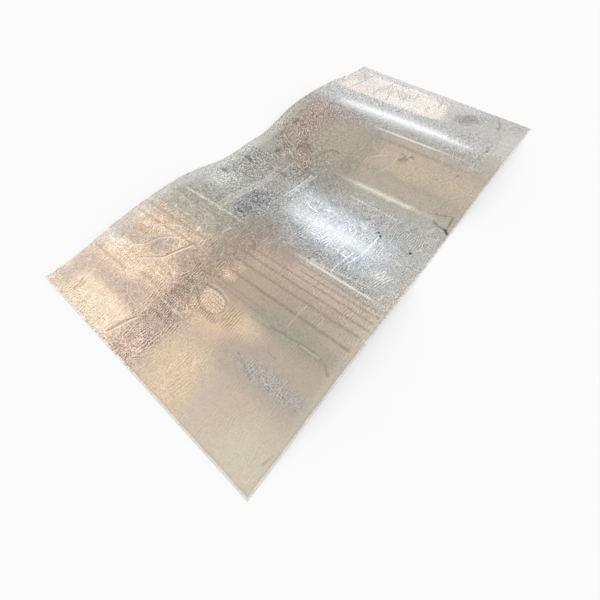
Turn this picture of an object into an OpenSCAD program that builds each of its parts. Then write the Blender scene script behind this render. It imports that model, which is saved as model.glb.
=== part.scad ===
// Galvanised steel sheet that lies on a level floor in two long, shallow waves.
//
// The sheet is rolled and sheared from one piece. Its waves run across the full width, so one
// section along its length describes it: three flat lands that lie on the floor, and two waves
// between them. Each flank of a wave is a foot arc and a crest arc that meet at a tangent.
//
// Frame: +X runs along the sheet from its near end to its far end, +Y across it and +Z up.
// The origin is below the middle of the sheet, on the floor.

/* [Sheet] */
// Cut length of the flat sheet, measured along the waves
sheet_length = 2000; // [1800:10:3000]
// Width of the sheet, across the length
sheet_width = 1000; // [300:10:1500]
// Thickness of the steel
sheet_thickness = 2; // [0.8:0.1:5]

/* [Lands] */
// Length of the flat land at the near end
near_land = 25; // [5:1:150]
// Length of the flat land at the far end
far_land = 35; // [5:1:150]

/* [Near wave] */
// Height that the near wave lifts the sheet off the floor
near_wave_height = 45; // [15:1:90]
// Floor length of its flank that rises from the near land
near_wave_rise = 520; // [300:5:700]
// Floor length of its flank that falls to the middle land
near_wave_fall = 330; // [200:5:500]
// Share of each flank that is its crest arc, in hundredths
near_wave_crest_share = 68; // [20:1:80]

/* [Far wave] */
// Height that the far wave lifts the sheet off the floor
far_wave_height = 45; // [15:1:90]
// Floor length of its flank that rises from the middle land
far_wave_rise = 325; // [200:5:500]
// Floor length of its flank that falls to the far land
far_wave_fall = 535; // [300:5:700]
// Share of each flank that is its crest arc, in hundredths
far_wave_crest_share = 74; // [20:1:80]

/* [Hidden] */
// Largest turn of one facet of a bend, in degrees
facet_turn = 0.75;

// Colour of the zinc coating
zinc_colour = [0.78, 0.75, 0.70];

// Both arcs of a flank turn through this angle, one up and one down
function flank_angle(height, run) = 2 * atan(height / run);

// The radii of both arcs of a flank add up to this
function radius_sum(height, run) = run / sin(flank_angle(height, run));

// Steel in a flank, measured along the curve
function flank_length(height, run) =
    radius_sum(height, run) * flank_angle(height, run) * PI / 180;

// Steel in a whole wave
function wave_length(height, rise, fall) = flank_length(height, rise) + flank_length(height, fall);

// The middle land is what the waves and the end lands leave of the cut length
near_wave_length = wave_length(near_wave_height, near_wave_rise, near_wave_fall);
far_wave_length = wave_length(far_wave_height, far_wave_rise, far_wave_fall);
middle_land = sheet_length - near_land - near_wave_length - far_wave_length - far_land;

// A stretch of the section is a list of steps, each a straight [length, turn]. Half of a step's
// turn comes before it and half after it, so that its ends lie on the true arc.
function flat_stretch(length) = [[length, 0]];

// Bend that turns the strip up by angle, or down by a negative angle
function bent_stretch(radius, angle) =
    let (
        facets = ceil(abs(angle) / facet_turn),
        turn = angle / facets,
        chord = 2 * radius * sin(abs(turn) / 2)
    )
    [for (i = [1:facets]) [chord, turn]];

// Flank that climbs by height over run: its foot arc turns up, then its crest arc levels it
function rising_flank(height, run, crest_share) =
    let (
        angle = flank_angle(height, run),
        crest_radius = radius_sum(height, run) * crest_share / 100,
        foot_radius = radius_sum(height, run) - crest_radius
    )
    concat(bent_stretch(foot_radius, angle), bent_stretch(crest_radius, -angle));

// Flank that drops by height over run: a rising flank walked the other way
function falling_flank(height, run, crest_share) =
    let (climb = rising_flank(height, run, crest_share))
    [for (i = [len(climb) - 1:-1:0]) climb[i]];

// One wave, which starts and ends level
function wave(height, rise, fall, crest_share) =
    concat(rising_flank(height, rise, crest_share), falling_flank(height, fall, crest_share));

// The whole sheet, from its near end to its far end
section_steps = concat(
    flat_stretch(near_land),
    wave(near_wave_height, near_wave_rise, near_wave_fall, near_wave_crest_share),
    flat_stretch(middle_land),
    wave(far_wave_height, far_wave_rise, far_wave_fall, far_wave_crest_share),
    flat_stretch(far_land)
);

// Stations [x, z, heading] of the middle line, at the start of each step and after the last
function stations(steps, x = 0, z = 0, heading = 0, i = 0) =
    i == len(steps)
        ? [[x, z, heading]]
        : let (
            length = steps[i][0],
            turn = steps[i][1],
            course = heading + turn / 2,
            next_x = x + length * cos(course),
            next_z = z + length * sin(course)
        )
        concat([[x, z, heading]], stations(steps, next_x, next_z, heading + turn, i + 1));

// Point of a face of the strip: square to the middle line at a station, and offset from it
function face_point(station, offset) =
    [station[0] - offset * sin(station[2]), station[1] + offset * cos(station[2])];

// Section of the strip, with its middle line starting at the origin
module section(line) {
    last = len(line) - 1;
    upper_face = [for (i = [0:last]) face_point(line[i], sheet_thickness / 2)];
    lower_face = [for (i = [last:-1:0]) face_point(line[i], -sheet_thickness / 2)];
    polygon(concat(upper_face, lower_face));
}

// The sheet: its section drawn out across the full width, with the lands on the floor
module steel_sheet() {
    line = stations(section_steps);
    floor_length = line[len(line) - 1][0];
    color(zinc_colour)
        translate([-floor_length / 2, 0, sheet_thickness / 2])
            rotate([90, 0, 0])
                linear_extrude(height = sheet_width, center = true)
                    section(line);
}

steel_sheet();
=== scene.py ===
"""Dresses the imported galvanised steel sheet: its rolled face, its sheared edges, its wear and its studio.

The sheet lies in two long waves on a level floor. +X runs along it from the near end to the far
end, +Y across it and +Z up, with the origin on the floor below its middle. Sizes are in metres.
"""

import logging
import math
from dataclasses import dataclass, field
from enum import Enum

import bpy
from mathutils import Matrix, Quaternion, Vector


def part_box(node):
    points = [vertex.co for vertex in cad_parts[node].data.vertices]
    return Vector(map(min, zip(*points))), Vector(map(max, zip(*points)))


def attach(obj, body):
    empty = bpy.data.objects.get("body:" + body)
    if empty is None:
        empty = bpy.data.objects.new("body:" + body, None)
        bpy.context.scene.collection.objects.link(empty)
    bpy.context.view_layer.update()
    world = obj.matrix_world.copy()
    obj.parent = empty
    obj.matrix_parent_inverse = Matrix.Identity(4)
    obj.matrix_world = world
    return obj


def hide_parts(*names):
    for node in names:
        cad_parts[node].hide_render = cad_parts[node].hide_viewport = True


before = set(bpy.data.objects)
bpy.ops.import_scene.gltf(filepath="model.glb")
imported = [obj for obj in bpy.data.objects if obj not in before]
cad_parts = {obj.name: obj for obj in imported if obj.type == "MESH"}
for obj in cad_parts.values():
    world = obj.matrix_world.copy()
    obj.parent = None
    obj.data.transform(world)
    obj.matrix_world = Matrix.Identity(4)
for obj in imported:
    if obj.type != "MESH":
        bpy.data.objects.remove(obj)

SHEET_NODE = "steel_sheet"
BODY = "root"
UNDERSIDE_SLOT = 1
EDGE_SLOT = 2

# How far apart the lines of a wave pattern of scale 1 lie
WAVE_REPEAT = math.pi / 10

Socket = bpy.types.NodeSocket
Value = Socket | float
Point = tuple[float, float]
Place = tuple[float, float, float]
Colour = tuple[float, float, float]
Levels = tuple[Point, ...]
Tones = tuple[tuple[float, Colour], ...]

log = logging.getLogger("steel_sheet")


class Mark(Enum):
    """What a stroke leaves on the zinc."""

    RUBBED = "rubbed bright"
    SMEARED = "smeared dark"
    PITTED = "pitted black"
    # A crease: a painted highlight with a line of painted shade beside it, always on the same side
    CREASED = "rubbed bright with a dark line beside it"


@dataclass(frozen=True)
class Stroke:
    """A narrow mark that follows straight legs over the top face."""

    mark: Mark
    width: float
    strength: float
    path: tuple[Point, ...]


def strokes(mark: Mark, *rows: tuple[float | Point, ...]) -> tuple[Stroke, ...]:
    """Lists strokes that leave the same mark.

    Args:
        mark: The mark.
        *rows: Each a width, a strength and the points of a path.

    Returns:
        The strokes.
    """
    return tuple(Stroke(mark, width, strength, tuple(path)) for width, strength, *path in rows)


@dataclass(frozen=True)
class Patch:
    """A soft-edged area of another tone, and of another strength of grain where it gives one.

    Its turn is in degrees. A square of 2 makes it an ellipse, and a higher one gives it corners.
    """

    centre: Point
    half: Point
    colour: Colour
    strength: float
    turn: float = 0.0
    square: float = 2.0
    soft: float = 0.8
    grain: float | None = None


@dataclass(frozen=True)
class Lane:
    """A lane along the sheet: stops of its tone, and stops of how strongly its grain shows."""

    tones: Tones
    grain: Levels


@dataclass(frozen=True)
class Dent:
    """A place where the sheet is pushed up, or down with a negative lift, and how far it spreads."""

    centre: Point
    lift: float
    spread: float


@dataclass(frozen=True)
class Tread:
    """A faint part of a sole's print: an area, and how far apart its dots or bars lie.

    A pitch of 0 along the sheet makes bars that run along it.
    """

    centre: Point
    half: Point
    pitch: Point
    strength: float = 1.0


@dataclass(frozen=True)
class Clouds:
    """A cloudy pattern: the size of a cloud, its finer layers, and how strong they are.

    The swirl bends the clouds. The depth is how much lighter and darker they make the zinc.
    """

    size: float
    detail: float = 1.0
    rough: float = 0.5
    swirl: float = 0.0
    depth: float = 1.0


@dataclass(frozen=True)
class Drift:
    """How a straight border wanders: the size of the clouds that shift it, and the furthest shift."""

    size: float
    reach: float


class NodeDesk:
    """Adds nodes to one tree and joins them, so that a finish reads as a list of steps."""

    def __init__(self, tree: bpy.types.NodeTree) -> None:
        """Takes the tree that the nodes go into."""
        self.tree = tree

    def add(self, kind: str, **settings: object) -> bpy.types.Node:
        """Adds one node.

        Args:
            kind: The node's type name, without its ShaderNode prefix.
            **settings: Properties of the node, such as its operation.

        Returns:
            The new node.
        """
        node = self.tree.nodes.new("ShaderNode" + kind)
        for name, value in settings.items():
            setattr(node, name, value)
        return node

    def feed(self, socket: Socket, value: object) -> None:
        """Sets an input to a plain value, or joins it to another node's output.

        Args:
            socket: The input.
            value: A number, a list of numbers or an output socket.
        """
        if isinstance(value, Socket):
            self.tree.links.new(value, socket)
        elif socket.type == "RGBA" and not isinstance(value, float) and len(value) == 3:
            socket.default_value = (*value, 1.0)
        else:
            socket.default_value = value

    def math(self, operation: str, *terms: Value) -> Socket:
        """Works on numbers.

        Args:
            operation: The Math node's operation.
            *terms: One to three numbers or sockets.

        Returns:
            The result.
        """
        node = self.add("Math", operation=operation)
        for socket, term in zip(node.inputs, terms):
            self.feed(socket, term)
        return node.outputs[0]

    def held(self, value: Socket) -> Socket:
        """Keeps a number between 0 and 1."""
        return self.math("MAXIMUM", self.math("MINIMUM", value, 1.0), 0.0)

    def vector(self, operation: str, *terms: object) -> bpy.types.Node:
        """Works on vectors.

        Args:
            operation: The Vector Math node's operation.
            *terms: One to three vectors or sockets.

        Returns:
            The node, whose outputs are a vector and a number.
        """
        node = self.add("VectorMath", operation=operation)
        for socket, term in zip(node.inputs, terms):
            self.feed(socket, term)
        return node

    def scaled(self, place: Socket, share: Value) -> Socket:
        """Scales a vector evenly.

        Args:
            place: The vector.
            share: What it is multiplied by.

        Returns:
            The scaled vector.
        """
        node = self.add("VectorMath", operation="SCALE")
        self.feed(node.inputs["Vector"], place)
        self.feed(node.inputs["Scale"], share)
        return node.outputs[0]

    def stretched(self, place: Socket, scale: Place) -> Socket:
        """Scales a place by its own factor on each axis."""
        return self.vector("MULTIPLY", place, scale).outputs[0]

    def turned(self, place: Socket, angle: Value) -> Socket:
        """Turns a place about the upright axis.

        Args:
            place: The place.
            angle: The turn in radians.

        Returns:
            The turned place.
        """
        node = self.add("VectorRotate", rotation_type="Z_AXIS")
        self.feed(node.inputs["Vector"], place)
        self.feed(node.inputs["Angle"], angle)
        return node.outputs[0]

    def split(self, place: Socket) -> tuple[Socket, Socket]:
        """Splits a place into how far along the sheet and how far across it lies.

        Args:
            place: The place.

        Returns:
            Its place along the sheet and its place across it.
        """
        along = self.vector("DOT_PRODUCT", place, (1.0, 0.0, 0.0)).outputs["Value"]
        across = self.vector("DOT_PRODUCT", place, (0.0, 1.0, 0.0)).outputs["Value"]
        return along, across

    def fade(self, value: Value, start: Value, end: Value) -> Socket:
        """Steps smoothly from 0 to 1.

        Args:
            value: The number that is looked up.
            start: Where the result is 0.
            end: Where the result is 1, above or below start.

        Returns:
            A number from 0 to 1.
        """
        node = self.add("MapRange", interpolation_type="SMOOTHSTEP", clamp=False)
        self.feed(node.inputs["Value"], value)
        self.feed(node.inputs["From Min"], start)
        self.feed(node.inputs["From Max"], end)
        return node.outputs["Result"]

    def mix(self, share: Value, first: object, second: object) -> Socket:
        """Mixes two colours.

        Args:
            share: How much of the second colour shows, from 0 to 1.
            first: The colour below.
            second: The colour laid over it.

        Returns:
            The mixed colour.
        """
        node = self.add("Mix", data_type="RGBA", clamp_factor=False)
        self.feed(node.inputs["Factor"], share)
        self.feed(node.inputs[6], first)
        self.feed(node.inputs[7], second)
        return node.outputs[2]

    def ramp(self, value: Socket, stops: Tones, span: Point) -> Socket:
        """Looks a number up in a list of colours.

        Args:
            value: The number.
            stops: Each a place in the number's own unit, and its colour.
            span: The lowest and the highest number.

        Returns:
            The colour.
        """
        low, high = span
        share = self.add("MapRange", clamp=False)
        self.feed(share.inputs["Value"], value)
        self.feed(share.inputs["From Min"], low)
        self.feed(share.inputs["From Max"], high)
        node = self.add("ValToRGB")
        self.feed(node.inputs[0], share.outputs["Result"])
        bar = node.color_ramp
        bar.interpolation = "EASE"
        while len(bar.elements) < len(stops):
            bar.elements.new(1.0)
        for element, (place, colour) in zip(bar.elements, stops):
            element.position = (place - low) / (high - low)
            element.color = (*colour, 1.0)
        return node.outputs[0]

    def level(self, value: Socket, stops: Levels, span: Point = (0.0, 1.0)) -> Socket:
        """Looks a number up in a list of numbers from 0 to 1.

        Args:
            value: The number.
            stops: Each a place in the number's own unit, and its result.
            span: The lowest and the highest number.

        Returns:
            The result.
        """
        return self.ramp(value, tuple((place, (share,) * 3) for place, share in stops), span)

    def noise(self, place: Socket, clouds: Clouds) -> bpy.types.Node:
        """Reads a cloudy pattern.

        Args:
            place: Where on the piece it is read.
            clouds: The pattern.

        Returns:
            The node, whose outputs are a number and a colour around 0.5.
        """
        node = self.add("TexNoise", noise_dimensions="3D")
        self.feed(node.inputs["Vector"], place)
        self.feed(node.inputs["Scale"], 1.0 / clouds.size)
        self.feed(node.inputs["Detail"], clouds.detail)
        self.feed(node.inputs["Roughness"], clouds.rough)
        self.feed(node.inputs["Distortion"], clouds.swirl)
        return node

    def cloudy(self, place: Socket, clouds: Clouds) -> Socket:
        """Reads a cloudy pattern as a number around 0.5."""
        return self.noise(place, clouds).outputs["Fac"]

    def warped(self, place: Socket, drift: Drift) -> Socket:
        """Shifts a place by a cloudy pattern, so that straight borders wander.

        Args:
            place: The place.
            drift: How far it is shifted, and over what distance the shift changes.

        Returns:
            The shifted place.
        """
        clouds = self.noise(place, Clouds(drift.size, 3.0)).outputs["Color"]
        centred = self.vector("SUBTRACT", clouds, (0.5, 0.5, 0.5)).outputs[0]
        shift = self.stretched(centred, (2 * drift.reach, 2 * drift.reach, 0.0))
        return self.vector("ADD", place, shift).outputs[0]

    def crystals(self, place: Socket, size: float) -> Socket:
        """Gives each zinc crystal its own number.

        Args:
            place: Where on the piece it is read.
            size: How wide a crystal is.

        Returns:
            A number from 0 to 1, the same all over one crystal.
        """
        cells = self.add("TexVoronoi", voronoi_dimensions="3D", feature="F1")
        self.feed(cells.inputs["Vector"], place)
        self.feed(cells.inputs["Scale"], 1.0 / size)
        return self.split(cells.outputs["Color"])[0]

    def group(self, tree: bpy.types.NodeTree, **inputs: object) -> bpy.types.Node:
        """Uses a node group.

        Args:
            tree: The group.
            **inputs: A value or a socket for each of its inputs.

        Returns:
            The group's node.
        """
        node = self.add("Group", node_tree=tree)
        for name, value in inputs.items():
            self.feed(node.inputs[name], value)
        return node


def open_metal(name: str) -> tuple[bpy.types.Material, NodeDesk, bpy.types.Node]:
    """Starts a metal finish.

    Args:
        name: The material's name.

    Returns:
        The material, a desk for its nodes and its shader.
    """
    material = bpy.data.materials.new(name)
    material.use_nodes = True
    material.node_tree.nodes.clear()
    desk = NodeDesk(material.node_tree)
    shader = desk.add("BsdfPrincipled")
    desk.feed(shader.inputs["Metallic"], 1.0)
    desk.feed(desk.add("OutputMaterial").inputs["Surface"], shader.outputs[0])
    return material, desk, shader


def open_group(
    name: str, vectors: tuple[str, ...], numbers: tuple[str, ...], results: tuple[str, ...]
) -> tuple[NodeDesk, list[Socket], bpy.types.Node]:
    """Starts a node group.

    Args:
        name: The group's name.
        vectors: The names of its vector inputs.
        numbers: The names of its number inputs, after the vectors.
        results: The names of its outputs, each a number.

    Returns:
        A desk for its nodes, its inputs and its output node.
    """
    tree = bpy.data.node_groups.new(name, "ShaderNodeTree")
    for label in vectors:
        tree.interface.new_socket(name=label, in_out="INPUT", socket_type="NodeSocketVector")
    for label in numbers:
        tree.interface.new_socket(name=label, in_out="INPUT", socket_type="NodeSocketFloat")
    for label in results:
        tree.interface.new_socket(name=label, in_out="OUTPUT", socket_type="NodeSocketFloat")
    entry = tree.nodes.new("NodeGroupInput")
    leave = tree.nodes.new("NodeGroupOutput")
    return NodeDesk(tree), entry.outputs[: len(vectors) + len(numbers)], leave


def stroke_group(painted_shade_offset: Point) -> bpy.types.NodeTree:
    """Makes the masks of one straight leg of a stroke, from its two ends and its width.

    Args:
        painted_shade_offset: How far the shaded line of a crease lies from its bright line.

    Returns:
        The node group, whose outputs are the line itself and the shaded line beside it.
    """
    desk, inputs, leave = open_group(
        "stroke_leg", ("place", "start", "end"), ("width",), ("line", "shade")
    )
    place, start, end, width = inputs
    leg = desk.vector("SUBTRACT", end, start).outputs[0]
    reach = desk.vector("SUBTRACT", place, start).outputs[0]
    along = desk.vector("DOT_PRODUCT", reach, leg).outputs["Value"]
    whole = desk.vector("DOT_PRODUCT", leg, leg).outputs["Value"]
    share = desk.held(desk.math("DIVIDE", along, whole))
    foot = desk.vector("ADD", start, desk.scaled(leg, share)).outputs[0]
    gap = desk.vector("DISTANCE", place, foot).outputs["Value"]
    beside = desk.vector("ADD", foot, (*painted_shade_offset, 0.0)).outputs[0]
    painted_shade_gap = desk.vector("DISTANCE", place, beside).outputs["Value"]
    desk.feed(leave.inputs[0], desk.fade(gap, width, 0.0))
    desk.feed(leave.inputs[1], desk.fade(painted_shade_gap, width, 0.0))
    return desk.tree


def patch_group() -> bpy.types.NodeTree:
    """Makes the mask of one patch, from its centre, half size, turn, squareness and softness.

    Returns:
        The node group.
    """
    desk, inputs, leave = open_group(
        "soft_patch", ("place", "centre", "half"), ("turn", "square", "soft"), ("mask",)
    )
    place, centre, half, turn, square, soft = inputs
    reach = desk.vector("SUBTRACT", place, centre).outputs[0]
    turned = desk.turned(reach, desk.math("MULTIPLY", turn, -1.0))
    scaled = desk.vector("DIVIDE", turned, half).outputs[0]
    along, across = desk.split(desk.vector("ABSOLUTE", scaled).outputs[0])
    total = desk.math("ADD", desk.math("POWER", along, square), desk.math("POWER", across, square))
    gap = desk.math("POWER", total, desk.math("DIVIDE", 1.0, square))
    outer = desk.math("ADD", 1.0, soft)
    inner = desk.math("SUBTRACT", 1.0, soft)
    desk.feed(leave.inputs[0], desk.fade(gap, outer, inner))
    return desk.tree


# The three lanes that lie side by side across the sheet. Their tones are partly the zinc's own and partly
# painted reflection of the surroundings, which changes over the waves
LEFT_LANE = Lane(
    tones=(
        (-0.97, (0.94, 0.74, 0.56)), (-0.9, (0.96, 0.75, 0.56)), (-0.84, (0.8, 0.6, 0.47)),
        (-0.77, (0.93, 0.7, 0.53)), (-0.68, (0.72, 0.55, 0.42)), (-0.6, (0.78, 0.6, 0.45)),
        (-0.54, (0.66, 0.53, 0.41)), (-0.49, (0.5, 0.46, 0.38)), (-0.4, (0.4, 0.39, 0.33)),
        (-0.3, (0.43, 0.43, 0.4)), (-0.18, (0.4, 0.4, 0.37)), (-0.05, (0.38, 0.38, 0.34)),
        (0.1, (0.36, 0.33, 0.28)), (0.22, (0.38, 0.34, 0.28)), (0.36, (0.39, 0.34, 0.29)),
        (0.46, (0.4, 0.37, 0.34)), (0.54, (0.52, 0.52, 0.5)), (0.64, (0.53, 0.52, 0.51)),
        (0.97, (0.66, 0.65, 0.64)),
    ),
    grain=(
        (-0.99, 0.65), (-0.9, 0.38), (-0.6, 0.68), (-0.42, 0.75), (-0.32, 0.95), (0.02, 1.05),
        (0.12, 0.75), (0.4, 0.75), (0.5, 0.9), (0.64, 0.85), (0.99, 0.85),
    ),
)
MIDDLE_LANE = Lane(
    tones=(
        (-0.97, (0.65, 0.49, 0.4)), (-0.85, (0.57, 0.44, 0.36)), (-0.7, (0.5, 0.38, 0.3)),
        (-0.5, (0.41, 0.34, 0.27)), (-0.36, (0.36, 0.32, 0.28)), (-0.26, (0.38, 0.38, 0.37)),
        (-0.08, (0.37, 0.38, 0.37)), (0.04, (0.36, 0.34, 0.3)), (0.2, (0.4, 0.36, 0.3)),
        (0.36, (0.39, 0.35, 0.29)), (0.45, (0.41, 0.4, 0.36)), (0.52, (0.49, 0.5, 0.49)),
        (0.62, (0.51, 0.51, 0.52)), (0.7, (0.56, 0.53, 0.52)), (0.97, (0.64, 0.62, 0.6)),
    ),
    grain=(
        (-0.99, 0.8), (-0.7, 0.8), (-0.5, 0.6), (-0.34, 0.6), (-0.24, 0.85), (0.02, 0.8),
        (0.12, 0.48), (0.38, 0.48), (0.46, 0.85), (0.64, 0.9), (0.99, 0.85),
    ),
)
RIGHT_LANE = Lane(
    tones=(
        (-0.97, (0.63, 0.54, 0.43)), (-0.85, (0.59, 0.49, 0.4)), (-0.77, (0.47, 0.41, 0.35)),
        (-0.69, (0.49, 0.41, 0.34)), (-0.61, (0.41, 0.36, 0.3)), (-0.5, (0.47, 0.39, 0.32)),
        (-0.42, (0.59, 0.47, 0.39)), (-0.36, (0.43, 0.41, 0.38)), (-0.28, (0.41, 0.42, 0.42)),
        (-0.12, (0.4, 0.41, 0.42)), (0.0, (0.46, 0.45, 0.43)), (0.09, (0.45, 0.43, 0.38)),
        (0.18, (0.47, 0.41, 0.34)), (0.3, (0.55, 0.46, 0.36)), (0.4, (0.49, 0.42, 0.34)),
        (0.49, (0.43, 0.41, 0.38)), (0.58, (0.51, 0.51, 0.49)), (0.7, (0.47, 0.46, 0.44)),
        (0.83, (0.5, 0.48, 0.44)), (0.97, (0.52, 0.5, 0.48)),
    ),
    grain=(
        (-0.99, 0.11), (-0.66, 0.11), (-0.42, 0.3), (-0.34, 0.78), (0.0, 0.74), (0.09, 0.42),
        (0.2, 0.25), (0.4, 0.3), (0.48, 0.7), (0.62, 0.62), (0.74, 0.4), (0.99, 0.4),
    ),
)
LANE_SPAN = (-1.0, 1.0)

# What share of the crystals is dull along the sheet; the others are bright
DULL_SHARE = (
    (-0.99, 0.5), (-0.42, 0.5), (-0.34, 1.0), (0.0, 1.0), (0.08, 0.6), (0.2, 0.4), (0.4, 0.2),
    (0.46, 0.0), (0.68, 0.0), (0.84, 1.0), (0.99, 1.0),
)
# How much of the grain is relief along the sheet
RELIEF_SHARE = (
    (-0.99, 0.45), (-0.42, 0.45), (-0.32, 0.85), (0.0, 0.85), (0.1, 0.4), (0.44, 0.4), (0.51, 0.12),
    (0.6, 0.12), (0.68, 0.5), (0.99, 0.5),
)
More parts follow.
